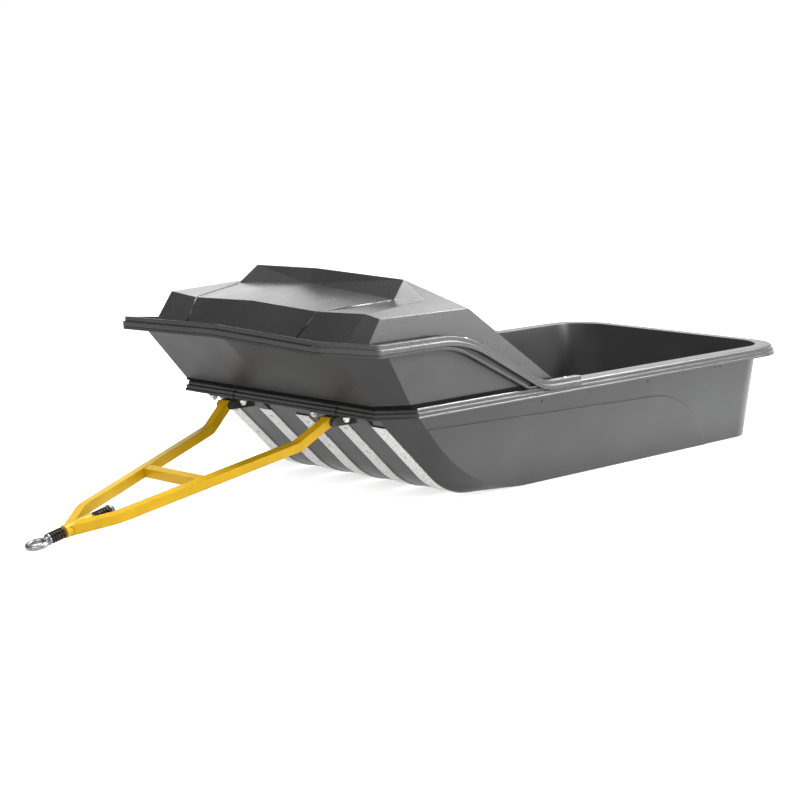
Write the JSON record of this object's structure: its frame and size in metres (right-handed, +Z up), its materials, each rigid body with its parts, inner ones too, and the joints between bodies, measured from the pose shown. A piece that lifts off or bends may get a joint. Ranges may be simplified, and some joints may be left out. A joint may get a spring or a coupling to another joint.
{
  "type": "snow sled",
  "caption": "Towed snow sled: a deep moulded tub with a splash guard, a faceted open hood, wear runners and a sprung tow bar that ends in an eye.",
  "frame": {"origin": "on the ground, under the middle of the sled's whole box", "axes": "+X to the sled's left, +Y to its rear, +Z up"},
  "size_m": [0.9, 2.7239, 0.634],
  "materials": {
    "black_plastic": "satin black moulded polyethylene",
    "runner_plastic": "pale speckled wear plastic",
    "bracket_steel": "black painted steel",
    "zinc_steel": "bright zinc plated steel",
    "yellow_paint": "yellow powder coat",
    "spring_steel": "dark oiled spring steel"
  },
  "bodies": {
    "sled": {"tub": "black_plastic", "splash_guard": "black_plastic", "hood": "black_plastic", "runner_1": "runner_plastic", "runner_2": "runner_plastic", "runner_3": "runner_plastic", "runner_4": "runner_plastic", "runner_5": "runner_plastic", "bracket_left": "bracket_steel", "bracket_right": "bracket_steel", "pivot_pin_left": "bracket_steel", "pivot_pin_right": "bracket_steel"},
    "tow_bar": {"tow_arm_left": "yellow_paint", "tow_arm_right": "yellow_paint", "cross_bar": "yellow_paint", "tip_sleeve": "yellow_paint", "front_spring": "spring_steel", "rear_spring": "spring_steel"},
    "draw_eye": {"draw_rod": "zinc_steel", "draw_eye": "zinc_steel", "rear_washer": "zinc_steel", "rod_nut": "zinc_steel"}
  },
  "joints": [
    {"name": "tow_bar_pivot", "type": "hinge", "parent": "sled", "child": "tow_bar", "pos_m": [0, -0.51096, 0.245], "axis": [-1, 0, 0], "range_deg": [0, 55]},
    {"name": "draw_eye_swivel", "type": "hinge", "parent": "tow_bar", "child": "draw_eye", "pos_m": [0, -1.24596, 0.03058], "axis": [0, 0.9781, 0.2079], "continuous": true}
  ]
}
